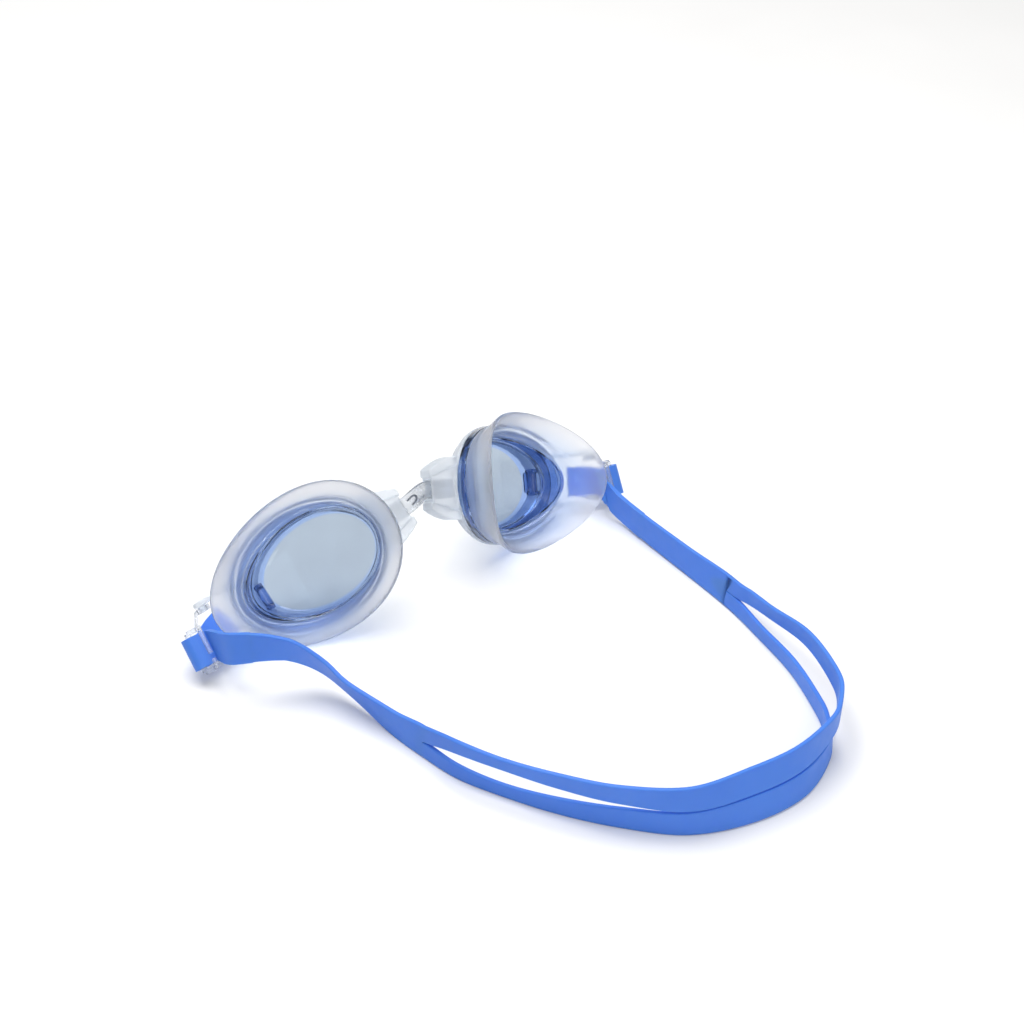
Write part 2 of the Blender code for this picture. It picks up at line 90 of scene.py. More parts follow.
# Painted shade: a thin near-black tube along the outline of the nose bridge's adjusting slot stands in for the
# refraction shade at the slot's edge.
SLOT_SHADE_RADIUS = 0.32
SLOT_SHADE_FROM = 6.0                # steps along the bridge
SLOT_SHADE_TO = 15.0
SLOT_SHADE_ROUND = 3.5
SLOT_SHADE_LOWER_FROM = 7.5
SLOT_SHADE_HALF = 0.4                # share of the bridge's half height
SLOT_SHADE_SIDE = -1.05              # just proud of the face that looks at the wearer
SLOT_SHADE_FACETS = 10
SLOT_SHADE_ARC_STEP = 15             # degrees
BUCKLE_TILT = 22.5
BUCKLE_PULL = {"left": (-4.0, 6.0), "right": (-1.5, 12.0)}
BAR_AT = 9.6
BAR_RADIUS = 1.0
GAP = 0.3
STRAP_THICK = 1.5
STRAP_WIDE = 10.6
STRAP_YAW = {"left": (-20.0, 24.0), "right": (-14.0, 0.0)}
RUN_LEAVES = {"left": (6.0, 1.0), "right": (8.5, 2.8)}
STRAP_ROUNDING = 0.45
STEPS_PER_SPAN = 10
SPLIT_GAP = 0.05                # a wider gap parts the strap into two bands
FULL_BULGE_GAP = 0.8            # the gap at which the upper band stands out by its whole bulge
RELAX_STOPS = 2                 # stops each side of the left buckle's last one
RELAX_PASSES = 40
LOOP_STOPS = 1                  # stops past the buckle where its loop ends
RUN_STOPS = {"left": 6, "right": 4}
TABLE_SHIFT = Vector((1.6, -29.9, 0.0))

# Voxel size and smoothing passes that round off each kind of moulded piece.
MOULDING = {"boss": (0.25, 6), "shoulders": (0.3, 8), "frame": (0.35, 10), "clip": (0.22, 5)}

TABLE_HALF = 4000.0
CAMERA_PLACE = (0.0016, -0.5132, 0.4134)        # metres
CAMERA_TILT = 55.0
CAMERA_LENS = 70.3125
CAMERA_SENSOR = 36.0

# The strap's route, as in the CAD: point under the lower edge, lean of each half, band, gap and bulge.
ROUTE = [
    (-89.5, 6.4, 11.4, -16, -16, 5.3, 0.0, 0.0),
    (-82.0, 6.8, 12.6, -8, -8, 5.3, 0.0, 0.0),
    (-72.0, 8.5, 12.2, 15, 15, 5.3, 0.0, 0.0),
    (-61.0, 8.0, 8.0, 26, 26, 5.4, 0.0, 0.0),
    (-50.0, 0.7, 3.4, 24, 24, 5.5, 0.0, 0.0),
    (-37.0, -13.4, 0.2, 4, 4, 5.4, 0.0, 0.0),
    (-27.0, -23.8, 0.2, -3, -3, 5.9, 0.0, 0.0),
    (-16.0, -33.6, 0.1, 0, 5, 5.5, 4.9, 0.0),
    (-2.0, -41.5, 0.1, 0, 8, 4.9, 6.6, 0.0),
    (14.0, -48.8, 0.1, 0, 8, 6.2, 4.6, 0.0),
    (32.0, -54.5, 0.1, 0, 8, 7.7, 2.0, 0.0),
    (52.0, -57.5, 0.1, 0, -5, 8.7, 0.4, 0.0),
    (72.0, -52.2, 0.3, -12, -15, 9.0, 0.4, 0.0),
    (88.0, -41.0, 0.3, -12, -12, 8.8, 0.5, 0.0),
    (97.0, -24.5, 0.2, -4, 0, 8.2, 0.8, 0.8),
    (97.5, -13.0, 0.1, 0, 3, 7.6, 2.0, 3.2),
    (96.0, -3.0, 0.1, 0, 3, 7.0, 3.0, 4.6),
    (90.5, 16.0, 0.1, 0, 0, 6.2, 4.0, 4.4),
    (82.0, 34.0, 0.1, 0, -5, 5.5, 2.5, 3.0),
    (73.0, 50.5, 0.3, 10, 10, 5.6, 0.0, 0.0),
    (60.0, 70.0, 0.3, 4, 4, 5.3, 0.0, 0.0),
    (45.8, 90.0, 1.0, -2, -2, 5.3, 0.0, 0.0),
    (36.6, 102.0, 3.0, -4, -4, 5.3, 0.0, 0.0),
]


# ---------------------------------------------------------------- materials

Plastic = namedtuple("Plastic", "tint roughness lamp_tint waviness milk")
PLASTICS = {
    "window_plastic": Plastic((0.43, 0.51, 0.61), 0.02, (0.74, 0.78, 0.83), 0.05, 0.0),
    "lens_wall_plastic": Plastic((0.31, 0.44, 0.74), 0.05, (0.62, 0.67, 0.76), 0.08, 0.0),
    "frame_plastic": Plastic((0.84, 0.87, 0.90), 0.34, (0.80, 0.81, 0.83), 0.15, 0.3),
    "buckle_plastic": Plastic((0.78, 0.81, 0.86), 0.10, (0.82, 0.83, 0.85), 0.15, 0.12),
    "bridge_plastic": Plastic((0.68, 0.71, 0.75), 0.20, (0.74, 0.75, 0.77), 0.2, 0.04),
    # Painted shade: near-black plastic for the tube that stands in for the shaded edge of the bridge's adjusting
    # slot.
    "slot_edge_shade_plastic": Plastic((0.05, 0.07, 0.12), 0.15, (0.30, 0.32, 0.36), 0.1, 0.0),
}
SKY = [(0.0, (0.10, 0.10, 0.12)), (0.2, (0.25, 0.26, 0.28)), (0.6, (1.0, 1.0, 1.0))]
SKY_STRENGTH = 0.54


def node(tree, kind, **inputs):
    made = tree.nodes.new("ShaderNode" + kind)
    for name, value in inputs.items():
        made.inputs[name.replace("_", " ")].default_value = value
    return made


def new_material(name):
    made = bpy.data.materials.new(name)
    made.use_nodes = True
    return made, made.node_tree, made.node_tree.nodes["Principled BSDF"]


def noise(tree, scale, detail=4.0, roughness=0.5):
    """Noise in the object's own coordinates, scale in features per metre."""
    where = tree.nodes.new("ShaderNodeTexCoord")
    made = node(tree, "TexNoise", Scale=scale, Detail=detail, Roughness=roughness)
    tree.links.new(where.outputs["Object"], made.inputs["Vector"])
    return made.outputs["Fac"]


def ramp(tree, factor, stops):
    made = tree.nodes.new("ShaderNodeValToRGB")
    elements = made.color_ramp.elements
    for element, (place, colour) in zip(elements, stops):
        element.position = place
        element.color = (*colour, 1.0)
    for place, colour in stops[2:]:
        elements.new(place).color = (*colour, 1.0)
    tree.links.new(factor, made.inputs["Fac"])
    return made.outputs["Color"]


def spread(tree, factor, low, high):
    """Noise turned into a value between low and high."""
    made = tree.nodes.new("ShaderNodeMapRange")
    made.inputs["From Min"].default_value = 0.3
    made.inputs["From Max"].default_value = 0.7
    made.inputs["To Min"].default_value = low
    made.inputs["To Max"].default_value = high
    tree.links.new(factor, made.inputs["Value"])
    return made.outputs["Result"]


def bump(tree, shader, height, strength, distance):
    made = node(tree, "Bump", Strength=strength, Distance=distance)
    tree.links.new(height, made.inputs["Height"])
    tree.links.new(made.outputs["Normal"], shader.inputs["Normal"])


def clear_to_lamps(tree, shader, tint):
    """Let lamps shine through a see-through material, tinted, so that it casts a light shadow."""
    output = tree.nodes["Material Output"]
    path = tree.nodes.new("ShaderNodeLightPath")
    glow = node(tree, "BsdfTransparent", Color=(*tint, 1.0))
    mix = tree.nodes.new("ShaderNodeMixShader")
    tree.links.new(path.outputs["Is Shadow Ray"], mix.inputs["Fac"])
    tree.links.new(shader.outputs["BSDF"], mix.inputs[1])
    tree.links.new(glow.outputs["BSDF"], mix.inputs[2])
    tree.links.new(mix.outputs["Shader"], output.inputs["Surface"])


def clear_plastic(name):
    """Clear moulded plastic: tinted, glossy, with faint flow marks and a share of milky white."""
    plastic = PLASTICS[name]
    made, tree, shader = new_material(name)
    shader.inputs["Transmission Weight"].default_value = 1.0 - plastic.milk
    shader.inputs["IOR"].default_value = 1.46
    flow = noise(tree, 90.0, 2.0)
    deep = tuple(c * 0.93 for c in plastic.tint)
    tree.links.new(ramp(tree, flow, [(0.3, deep), (0.7, plastic.tint)]), shader.inputs["Base Color"])
    tree.links.new(spread(tree, noise(tree, 500.0), plastic.roughness, plastic.roughness * 1.8 + 0.01),
                   shader.inputs["Roughness"])
    bump(tree, shader, flow, plastic.waviness, 0.0004)
    clear_to_lamps(tree, shader, plastic.lamp_tint)
    return made


def silicone_seal():
    """Milky, soft-skinned silicone that lets the strap's end show through as a blur, with painted blue lens light
    and shade deepening towards the lens.
    """
    made, tree, shader = new_material("seal_silicone")
    shader.inputs["Transmission Weight"].default_value = 0.90
    shader.inputs["IOR"].default_value = 1.22
    shader.inputs["Subsurface Weight"].default_value = 0.3
    shader.inputs["Subsurface Radius"].default_value = (0.006, 0.007, 0.009)
    shader.inputs["Subsurface Scale"].default_value = 1.0
    place = tree.nodes.new("ShaderNodeAttribute")
    place.attribute_name = "to_rim"
    wander = node(tree, "Math")
    wander.operation = "MULTIPLY_ADD"
    wander.inputs[1].default_value = 0.12
    tree.links.new(noise(tree, 60.0, 3.0), wander.inputs[0])
    tree.links.new(place.outputs["Fac"], wander.inputs[2])
    # Painted light and shade: the base colour turns a darker blue towards the lens, standing in for the lens's
    # blue light scattered into the silicone, and whitens towards the rim.
    painted_lens_light_ramp = [(0.74, (0.50, 0.62, 0.86)), (0.86, (0.71, 0.78, 0.90)), (0.99, (0.85, 0.86, 0.89))]
    tree.links.new(ramp(tree, wander.outputs["Value"], painted_lens_light_ramp), shader.inputs["Base Color"])
    tree.links.new(spread(tree, noise(tree, 120.0), 0.34, 0.38), shader.inputs["Roughness"])
    bump(tree, shader, noise(tree, 110.0, 1.0), 0.03, 0.0002)
    clear_to_lamps(tree, shader, (0.74, 0.75, 0.78))
    return made


def strap_silicone():
    """Blue satin silicone with a fine mould texture and slightly cloudy colour."""
    made, tree, shader = new_material("strap_silicone")
    shader.inputs["Subsurface Weight"].default_value = 0.25
    shader.inputs["Subsurface Radius"].default_value = (0.001, 0.002, 0.006)
    shader.inputs["Subsurface Scale"].default_value = 1.0
    shader.inputs["Specular IOR Level"].default_value = 0.35
    cloud = noise(tree, 30.0, 3.0)
    tree.links.new(ramp(tree, cloud, [(0.3, (0.062, 0.205, 0.71)), (0.7, (0.075, 0.235, 0.77))]),
                   shader.inputs["Base Color"])
    tree.links.new(spread(tree, noise(tree, 300.0), 0.42, 0.54), shader.inputs["Roughness"])
    bump(tree, shader, noise(tree, 1600.0, 6.0), 0.10, 0.00015)
    return made


def table_top():
    made, tree, shader = new_material("table_top")
    shade = noise(tree, 12.0, 2.0)
    tree.links.new(ramp(tree, shade, [(0.3, (0.91, 0.905, 0.895)), (0.7, (0.93, 0.925, 0.915))]),
                   shader.inputs["Base Color"])
    shader.inputs["Roughness"].default_value = 0.75
    return made


# ---------------------------------------------------------------- cup axes and small helpers

def cup_matrix(name):
    """A cup's axes and place in the row frame, in mm, from its window's mount and its buckle's hinge."""
    mounts = {mount["name"]: mount for mount in frame["record"]["mounts"]}
    joints = {joint["name"]: joint for joint in frame["joints"]}
    window = mounts[name + "_window_face"]
    inward = -Vector(window["axis"]).normalized()
    upward = Vector(joints[name + "_buckle_swivel"]["axis"]).normalized()
    across = upward.cross(inward).normalized()
    turn = Matrix((across, upward, inward)).transposed()
    side = SIDES[name]
    middle = Vector(window["pos_m"]) / MM - turn @ Vector((side * WINDOW_SHIFT, 0, WINDOW_DEPTH))
    return Matrix.Translation(middle) @ turn.to_4x4() @ Matrix.Diagonal((side, 1, 1, 1))


CUPS = {name: cup_matrix(name) for name in SIDES}


def oval_point(oval, angle):
    c = cos(angle)
    return Vector((oval.length * c + oval.shift,
                   oval.height * sin(angle) * (1 - oval.egg * c),
                   oval.depth + oval.saddle * c * c))


def mesh_object(name, bm, matrix=Matrix.Identity(4), smooth_angle=40.0):
    """Turn a bmesh in mm into a smooth-shaded object in metres, placed by the matrix."""
    bmesh.ops.transform(bm, matrix=Matrix.Scale(MM, 4) @ matrix, verts=bm.verts)
    bmesh.ops.recalc_face_normals(bm, faces=bm.faces)
    mesh = bpy.data.meshes.new(name)
    bm.to_mesh(mesh)
    bm.free()
    mesh.shade_smooth()
    mesh.set_sharp_from_angle(angle=radians(smooth_angle))
    made = bpy.data.objects.new(name, mesh)
    bpy.context.scene.collection.objects.link(made)
    return made


def smooth(rows, steps, closed=False):
    """A Catmull-Rom curve through rows of numbers, with steps points to each span."""
    padded = [rows[-1]] + rows + rows[:2] if closed else [rows[0]] + rows + [rows[-1]]
    out = []
    for a, b, c, d in zip(padded, padded[1:], padded[2:], padded[3:]):
        for k in range(steps):
            t = k / steps
            out.append([0.5 * (2 * q + (r - p) * t + (2 * p - 5 * q + 4 * r - s) * t * t
                               + (3 * q - p - 3 * r + s) * t ** 3)
                        for p, q, r, s in zip(a, b, c, d)])
    return out if closed else out + [list(rows[-1])]


def skin(bm, rings, closed=False):
    """Join rings of vertices with quads, and close the ends unless the last ring meets the first."""
    following = rings[1:] + rings[:1] if closed else rings[1:]
    for near, far in zip(rings, following):
        for k in range(len(near)):
            j = (k + 1) % len(near)
            bm.faces.new((near[k], near[j], far[j], far[k]))
    if not closed:
        bm.faces.new(rings[0])
        bm.faces.new(rings[-1])


def loft(ovals, closed):
    """Skin a stack of ovals, closed into a ring or ended with flat faces."""
    bm = bmesh.new()
    rings = [[bm.verts.new(oval_point(oval, 2 * pi * k / OVAL_POINTS)) for k in range(OVAL_POINTS)]
             for oval in ovals]
    skin(bm, rings, closed)
    return bm


def round_edges(piece, width):
    modifier = piece.modifiers.new("rounding", "BEVEL")
    modifier.width = width * MM
    modifier.segments = 3
    modifier.limit_method = "ANGLE"
    modifier.angle_limit = radians(50.0)


def mould(piece, kind):
    """Round a piece the way injection moulding does: remesh it finely, then relax the surface."""
    voxel, passes = MOULDING[kind]
    remesh = piece.modifiers.new("fine_mesh", "REMESH")
    remesh.mode = "VOXEL"
    remesh.voxel_size = voxel * MM
    remesh.use_smooth_shade = True
    soften = piece.modifiers.new("relax", "SMOOTH")
    soften.factor = 0.5
    soften.iterations = passes


# ---------------------------------------------------------------- eyecups

def make_lens(name, window_material, wall_material):
    """One tinted moulding: flat window, sloping wall, outward rim and the collar the seal grips."""
    ovals = [
        Oval(20.6, 14.2, 0.06, -2.7, -15.6, 0.0),
        Oval(21.2, 14.9, 0.06, -2.7, -15.4, 0.1),
        Oval(21.7, 15.3, 0.06, -2.4, -14.9, 0.6),
        Oval(22.6, 15.9, 0.06, -1.8, -13.7, 4.5),
        Oval(26.2, 20.5, 0.0, 0.7, -13.6, 4.7),
        Oval(26.5, 20.8, 0.0, 0.7, -13.3, 4.7),
        Oval(26.9, 21.0, 0.0, 0.6, -10.6, 5.0),
        Oval(26.6, 20.7, 0.0, 0.6, -10.3, 5.0),
        Oval(25.4, 19.6, 0.01, 0.4, -10.5, 5.0),
        Oval(24.9, 18.2, 0.03, -0.4, -12.2, 4.7),
        Oval(23.4, 16.4, 0.06, -1.7, -12.3, 4.7),
        Oval(24.5, 17.0, 0.06, -1.4, -10.3, 9.0),
        Oval(24.0, 16.5, 0.06, -1.4, -10.0, 9.0),
        Oval(23.4, 15.9, 0.06, -1.4, -10.3, 9.0),
        Oval(22.1, 15.2, 0.06, -1.9, -12.0, 4.2),
        Oval(20.9, 14.6, 0.06, -2.6, -13.5, 0.8),
        Oval(20.5, 14.2, 0.06, -2.7, -14.1, 0.2),
        Oval(19.9, 13.6, 0.06, -2.7, -14.3, 0.0),
    ]
    bm = loft(ovals, closed=False)
    for face in bm.faces:
        face.material_index = 0 if len(face.verts) > 4 else 1
    piece = mesh_object(name + "_lens_shell", bm, CUPS[name], 30.0)
    piece.data.materials.append(window_material)
    piece.data.materials.append(wall_material)
    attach(piece, name + "_cup")
    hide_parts(name + "_lens")


def make_gasket(name, material):
    """The soft face seal: a thick flared ring with a rounded lip, stepped neck and inner bead."""
    ovals = [
        Oval(26.9, 21.0, 0.0, 0.6, -9.9, 5.1),
        Oval(27.6, 21.2, 0.01, 0.3, -8.6, 6.0),
        Oval(27.9, 21.1, 0.02, 0.2, -7.6, 7.0),
        Oval(28.9, 21.7, 0.04, 0.3, -6.0, 8.4),
        Oval(31.2, 23.3, 0.07, 0.1, -2.6, 9.7),
        Oval(32.8, 24.1, 0.09, 0.0, -0.6, 10.8),
        Oval(33.0, 24.3, 0.09, 0.0, 0.1, 10.8),
        Oval(32.3, 23.6, 0.09, 0.0, 0.6, 10.8),
        Oval(29.6, 21.2, 0.09, -0.3, -2.4, 10.5),
        Oval(27.2, 19.0, 0.08, -0.7, -5.2, 9.9),
        Oval(26.2, 18.1, 0.07, -0.9, -7.0, 9.5),
        Oval(25.4, 17.6, 0.07, -1.1, -8.0, 9.2),
        Oval(24.5, 16.9, 0.06, -1.3, -9.0, 9.0),
        Oval(23.7, 16.2, 0.06, -1.4, -9.7, 9.0),
        Oval(24.3, 16.8, 0.06, -1.4, -9.75, 9.0),
        Oval(24.9, 17.4, 0.06, -1.4, -9.8, 9.0),
        Oval(25.0, 18.0, 0.04, -0.8, -10.2, 6.5),
        Oval(25.4, 19.4, 0.02, 0.2, -10.1, 5.2),
    ]
    rows = smooth([list(oval) for oval in ovals], PROFILE_STEPS, closed=True)
    bm = loft([Oval(*row) for row in rows], closed=True)
    # Share of the way out to the rim. The seal material uses it to paint blue lens light and shade near the lens.
    to_rim = bm.verts.layers.float.new("to_rim")
    for vert in bm.verts:
        vert[to_rim] = ((vert.co.x / SEAL_LENGTH) ** 2 + (vert.co.y / SEAL_HEIGHT) ** 2) ** 0.5
    piece = mesh_object(name + "_seal", bm, CUPS[name])
    piece.data.materials.append(material)
    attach(piece, name + "_cup")
    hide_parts(name + "_gasket")


def make_boss(name, material):
    """The moulded boss inside the lens wall at the temple end: a barrel between two ribs."""
    bm = bmesh.new()
    for middle, size in BOSS_BLOCKS:
        made = bmesh.ops.create_cube(bm, size=1.0)["verts"]
        bmesh.ops.scale(bm, vec=size, verts=made)
        bmesh.ops.translate(bm, vec=middle, verts=made)
    barrel = bmesh.ops.create_cone(bm, cap_ends=True, segments=24, radius1=BARREL_RADIUS,
                                   radius2=BARREL_RADIUS, depth=BARREL_LENGTH)["verts"]
    bmesh.ops.rotate(bm, cent=(0, 0, 0), matrix=Matrix.Rotation(pi / 2, 3, "X"), verts=barrel)
    bmesh.ops.translate(bm, vec=BARREL_PLACE, verts=barrel)
    piece = mesh_object(name + "_lens_boss", bm, CUPS[name])
    piece.data.materials.append(material)
    mould(piece, "boss")
    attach(piece, name + "_cup")


def make_lug_sides(name, material):
    """The rounded shoulders that widen a nose lug on both sides of its pocket."""
    bm = bmesh.new()
    for side in (-1, 1):
        rings = [[bm.verts.new((u, side * v, n)) for v, n in
                  ((inner, low), (outer, low), (outer, high), (inner, high))]
                 for u, inner, outer, low, high in SHOULDERS]
        skin(bm, rings)
    piece = mesh_object(name + "_lug_sides", bm, CUPS[name])
    piece.data.materials.append(material)
    mould(piece, "shoulders")
    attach(piece, name + "_cup")


# ---------------------------------------------------------------- nose bridge

def bridge_places():
    """The bridge's middle line as (place, high, along), a Hermite curve from pocket to pocket."""
    ends = {}
    for name in SIDES:
        mouth, inside = CUPS[name] @ LUG_END, CUPS[name] @ (LUG_END + Vector((BRIDGE_INSIDE, 0, 0)))
        high = (CUPS[name] @ (LUG_END + Vector((0, 1, 0))) - mouth).normalized()
        ends[name] = (mouth, (mouth - inside).normalized(), high)
    (start, leave, high_a), (finish, arrive, high_b) = ends["left"], ends["right"]
    reach = (finish - start).length
    places = [(start - leave * BRIDGE_INSIDE, high_a, leave)]
    for k in range(BRIDGE_STEPS + 1):
        t = k / BRIDGE_STEPS
        at_start, leaving = 2 * t ** 3 - 3 * t ** 2 + 1, t ** 3 - 2 * t ** 2 + t
        at_finish, arriving = 3 * t ** 2 - 2 * t ** 3, t ** 3 - t ** 2
        place = (start * at_start + leave * (reach * leaving) + finish * at_finish
                 - arrive * (reach * arriving))
        slope = (start * (6 * t * t - 6 * t) + leave * (reach * (3 * t * t - 4 * t + 1))
                 + finish * (6 * t - 6 * t * t) - arrive * (reach * (3 * t * t - 2 * t)))
        places.append((place, high_a.lerp(high_b, at_finish), slope))
    return places + [(finish - arrive * BRIDGE_INSIDE, high_b, -arrive)]


def bridge_point(places, step, high_share, out_share):
    """A point of the bridge: step along it, and shares of its half height and half thickness."""
    k = min(int(step), len(places) - 2)
    t = step - k
    place, high, along = (a.lerp(b, t) for a, b in zip(places[k], places[k + 1]))
    along = along.normalized()
    up = (high - along * high.dot(along)).normalized()
    out = along.cross(up).normalized()
    return place + up * (high_share * BRIDGE_HIGH / 2) + out * (out_share * BRIDGE_THICK / 2)


def make_strip(places, material):
    """The clear strip, with a thickened border along both edges."""
    quarter = [(-1.0, -0.4), (-0.94, -0.85), (-0.8, -1.0), (-0.66, -0.75)]
    front = quarter + [(-high, out) for high, out in reversed(quarter)]
    section = front + [(high, -out) for high, out in reversed(front)]
    bm = bmesh.new()
    skin(bm, [[bm.verts.new(bridge_point(places, step, *corner)) for corner in section]
              for step in range(len(places))])
    strip = mesh_object("nose_bridge_strip", bm)
    strip.data.materials.append(material)
    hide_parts("nose_bridge")
    return strip


def make_slot_edge_shade(places, material):
    """Painted shade: the dark, refraction-shaded edge of the adjusting slot, a U lying on its side, drawn as a
    thin near-black tube.
    """
    turns = [radians(k) for k in range(90, -91, -SLOT_SHADE_ARC_STEP)]
    outline = [(SLOT_SHADE_FROM, SLOT_SHADE_HALF)]
    outline += [(SLOT_SHADE_TO - SLOT_SHADE_ROUND + SLOT_SHADE_ROUND * cos(a), SLOT_SHADE_HALF * sin(a)) for a in turns]
    outline.append((SLOT_SHADE_LOWER_FROM, -SLOT_SHADE_HALF))
    path = [bridge_point(places, step, share, SLOT_SHADE_SIDE) for step, share in outline]
    bm = bmesh.new()
    rings = []
    for k, place in enumerate(path):
        along = (path[min(k + 1, len(path) - 1)] - path[max(k - 1, 0)]).normalized()
        out = (bridge_point(places, outline[k][0], 0.0, 1.0)
               - bridge_point(places, outline[k][0], 0.0, -1.0)).normalized()
        side = along.cross(out).normalized()
        rings.append([bm.verts.new(place + (side * cos(a) + out * sin(a)) * SLOT_SHADE_RADIUS)
                      for a in (2 * pi * facet / SLOT_SHADE_FACETS for facet in range(SLOT_SHADE_FACETS))])
    skin(bm, rings)
    mark = mesh_object("nose_bridge_slot_edge_shade", bm)
    mark.data.materials.append(material)
    return mark


def make_bridge(strip_material, slot_edge_shade_material):
    """The strip and the painted shade at the edge of its adjusting slot, both laid from the left cup's nose pocket
    to the right cup's.
    """
    places = bridge_places()
    for piece in (make_strip(places, strip_material), make_slot_edge_shade(places, slot_edge_shade_material)):
        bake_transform(piece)


# ---------------------------------------------------------------- strap

BUCKLE_TURN = Matrix.Rotation(radians(-BUCKLE_TILT), 4, "Y")


def buckle_stations(name):
    """Tail, turn round the outer bar and start of the run, as rows of numbers.

    A row is the foot of the strap, the way up of each half, then band, gap and bulge. The lists below
    give each place as its distance back from the bar, its height over it and its share of the yaw.
    """
    level = BAR_RADIUS + GAP + STRAP_THICK / 2
    tail_yaw, run_yaw = (radians(a) for a in STRAP_YAW[name])
    tail = [(17.0, -level - 2.2, 1.0), (12.0, -level - 1.8, 1.0), (7.5, -level - 1.4, 0.8),
            (3.5, -level - 0.5, 0.15)]
    arc = [(-level * cos(a), level * sin(a), 0.0) for a in (radians(k) for k in range(-90, 91, 30))]
    back, rise = RUN_LEAVES[name]
    run = [(4.2, level + 0.1, 0.0), (back, level + rise, 0.1)]
    places = [(back, high, tail_yaw * share) for back, high, share in tail + arc]
    places += [(back, high, run_yaw * share) for back, high, share in run]
    pull, turn = BUCKLE_PULL[name]
    local = (CUPS[name] @ Matrix.Translation((HINGE_U, 0, HINGE_N)) @ BUCKLE_TURN
             @ Matrix.Translation((BAR_AT, pull, 0)) @ Matrix.Rotation(radians(turn), 4, "Z"))
    half = STRAP_WIDE / 2
    stations = []
    for back, high, yaw in places:
        middle = Vector((-back * cos(yaw), -back * sin(yaw), high))
        width = Vector((-sin(yaw), cos(yaw), 0)) * half
        foot, head = local @ (middle - width), local @ (middle + width)
        up = (head - foot).normalized()
        stations.append([*foot, *up, *up, half, 0.0, 0.0])
    return stations


def route_stations():
    """The stops of ROUTE as rows like those of buckle_stations."""
    spots = [Vector(stop[:3]) + TABLE_SHIFT for stop in ROUTE]
    stations = []
    for k, (_, _, _, lean_low, lean_up, band, gap, bulge) in enumerate(ROUTE):
        along = (spots[min(k + 1, len(spots) - 1)] - spots[max(k - 1, 0)]).normalized()
        outward = along.cross(Vector((0, 0, 1))).normalized()
        upright = outward.cross(along)
        low, up = (upright * cos(radians(lean)) + outward * sin(radians(lean))
                   for lean in (lean_low, lean_up))
        stations.append([*spots[k], *low, *up, band, gap, bulge])
    return stations


def strap_section(bm, spots, rows, k):
    """The corners at one place, as four pairs from the foot up, and whether the bands are parted.

    Where they aren't, the two middle pairs are one.
    """
    row = rows[k]
    along = spots[min(k + 1, len(spots) - 1)] - spots[max(k - 1, 0)]
    low, up = Vector(row[3:6]).normalized(), Vector(row[6:9]).normalized()
    outward = along.cross(Vector((0, 0, 1))).normalized()
    band, gap = row[9], max(row[10], 0.0)
    bulge = max(row[11], 0.0) * min(gap / FULL_BULGE_GAP, 1.0)
    out_low = along.cross(low).normalized() * (STRAP_THICK / 2)
    out_up = along.cross(up).normalized() * (STRAP_THICK / 2)
    foot, middle = spots[k], spots[k] + low * band
    start = middle + up * gap + outward * bulge
    head = start + up * band
    split = gap > SPLIT_GAP
    corners = [(foot, out_low), (middle, out_low), (start, out_up), (head, out_up)]
    pairs = [[bm.verts.new(place + out), bm.verts.new(place - out)] for place, out in corners]
    if not split:
        for vert in pairs[2]:
            bm.verts.remove(vert)
        pairs[2] = pairs[1]
    return pairs + [split]


def skin_span(bm, near, far):
    """The faces between two sections: both sides of both bands, and their long edges."""
    for a, b in ((0, 1), (2, 3)):
        for k in (0, 1):
            bm.faces.new((near[a][k], near[b][k], far[b][k], far[a][k]))
    rings = (0, 1, 2, 3) if near[4] or far[4] else (0, 3)
    for ring in rings:
        bm.faces.new((near[ring][0], near[ring][1], far[ring][1], far[ring][0]))


def strap_piece(name, rows, spots, first, last, material):
    """The strap between two of its sections, closed only where the strap itself ends."""
    bm = bmesh.new()
    sections = [strap_section(bm, spots, rows, k) for k in range(first, last + 1)]
    for near, far in zip(sections, sections[1:]):
        skin_span(bm, near, far)
    for k, section in ((first, sections[0]), (last, sections[-1])):
        if k in (0, len(rows) - 1):
            lower, middle, start, upper, _ = section
            bm.faces.new((lower[0], lower[1], middle[1], middle[0]))
            bm.faces.new((start[0], start[1], upper[1], upper[0]))
    piece = mesh_object(name, bm)
    piece.data.materials.append(material)
    round_edges(piece, STRAP_ROUNDING)
    return piece


def relax(rows, first, last, passes):
    """Ease the strap's line between two of its sections by averaging neighbours."""
    for _ in range(passes):
        eased = [[(a + 2 * b + c) / 4 for a, b, c in zip(*rows[k - 1:k + 2])]
                 for k in range(first, last)]
        rows[first:last] = eased


def make_strap(material):
    """Five lengths: a loop on each buckle, a run from each cup, and the back of the strap."""
    left, right = buckle_stations("left"), buckle_stations("right")[::-1]
    rows = smooth(left + route_stations() + right, STEPS_PER_SPAN)
    relax(rows, (len(left) - RELAX_STOPS) * STEPS_PER_SPAN, (len(left) + RELAX_STOPS) * STEPS_PER_SPAN,
          RELAX_PASSES)
    spots = [Vector(row[:3]) for row in rows]
    end = len(rows) - 1
    on_left = (len(left) + LOOP_STOPS) * STEPS_PER_SPAN
    off_left = (len(left) + RUN_STOPS["left"]) * STEPS_PER_SPAN
    off_right = end - (len(right) + RUN_STOPS["right"]) * STEPS_PER_SPAN
    on_right = end - (len(right) + LOOP_STOPS) * STEPS_PER_SPAN
    left_loop = strap_piece("strap_left_loop", rows, spots, 0, on_left, material)
    left_run = strap_piece("strap_left_run", rows, spots, on_left, off_left, material)
    back = strap_piece("strap_back", rows, spots, off_left, off_right, material)
    right_run = strap_piece("strap_right_run", rows, spots, off_right, on_right, material)
    right_loop = strap_piece("strap_right_loop", rows, spots, on_right, end, material)
    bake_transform(left_loop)
    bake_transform(left_run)
    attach(back, "bridge_and_strap")
    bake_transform(right_run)
    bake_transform(right_loop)
    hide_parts("strap")


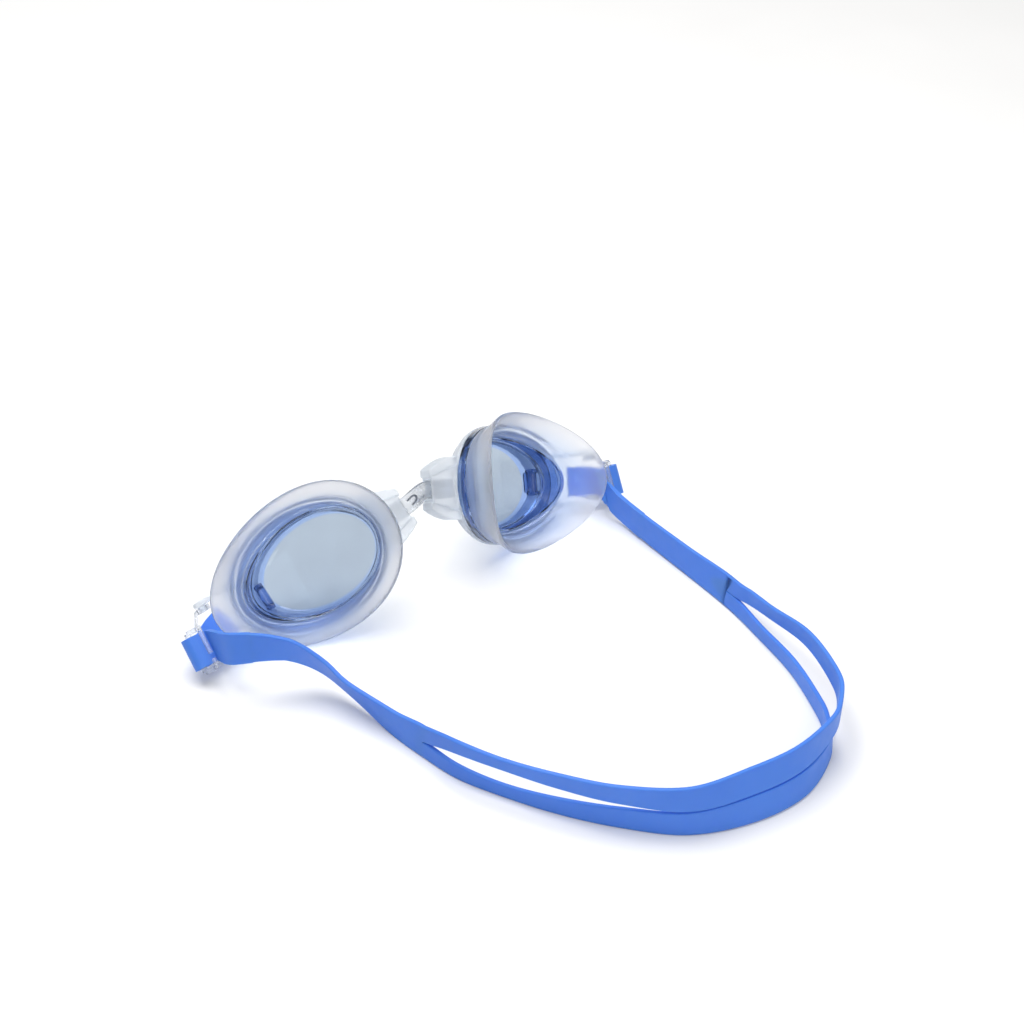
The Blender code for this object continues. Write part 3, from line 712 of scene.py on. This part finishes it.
# ---------------------------------------------------------------- carried-over CAD parts

def finish_cad(name, kind, material):
    piece = frame["nodes"][name + "_" + kind]
    piece.data.materials.clear()
    piece.data.materials.append(material)
    mould(piece, kind)


# ---------------------------------------------------------------- table, lights and camera

def make_table():
    bm = bmesh.new()
    bmesh.ops.create_grid(bm, x_segments=1, y_segments=1, size=TABLE_HALF)
    top = mesh_object("table_top", bm)
    top.data.materials.append(table_top())


def area_light(name, place, target, size, watts):
    light = bpy.data.lights.new(name, "AREA")
    light.size = size
    light.energy = watts
    made = bpy.data.objects.new(name, light)
    made.location = place
    made.rotation_euler = (Vector(target) - Vector(place)).to_track_quat("-Z", "Y").to_euler()
    bpy.context.scene.collection.objects.link(made)


def make_lights():
    """A studio whose walls darken towards the floor, so that clear edges show, and two soft lamps."""
    world = bpy.data.worlds.new("studio")
    world.use_nodes = True
    tree = world.node_tree
    sky = tree.nodes["Background"]
    where = tree.nodes.new("ShaderNodeTexCoord")
    height = tree.nodes.new("ShaderNodeSeparateXYZ")
    tree.links.new(where.outputs["Generated"], height.inputs["Vector"])
    tree.links.new(ramp(tree, height.outputs["Z"], SKY), sky.inputs["Color"])
    sky.inputs["Strength"].default_value = SKY_STRENGTH
    bpy.context.scene.world = world
    area_light("top_light", (-0.2, 0.2, 1.1), (0, 0, 0), 0.8, 10.5)
    area_light("front_light", (0.5, -0.9, 0.9), (0, 0, 0), 0.8, 4.3)


def make_camera():
    camera = bpy.data.cameras.new("camera")
    camera.lens = CAMERA_LENS
    camera.sensor_width = CAMERA_SENSOR
    made = bpy.data.objects.new("camera", camera)
    made.location = CAMERA_PLACE
    made.rotation_euler = (radians(CAMERA_TILT), 0.0, 0.0)
    bpy.context.scene.collection.objects.link(made)
    bpy.context.scene.camera = made


def main():
    make_camera()
    make_lights()
    make_table()
    bpy.context.scene.view_settings.view_transform = "Standard"
    window, wall, shell, clip, bridge, slot_shade = (clear_plastic(name) for name in PLASTICS)
    seal = silicone_seal()
    for name in SIDES:
        make_lens(name, window, wall)
        make_gasket(name, seal)
        make_boss(name, wall)
        make_lug_sides(name, shell)
        finish_cad(name, "frame", shell)
        finish_cad(name, "clip", clip)
    make_bridge(bridge, slot_shade)
    make_strap(strap_silicone())


main()
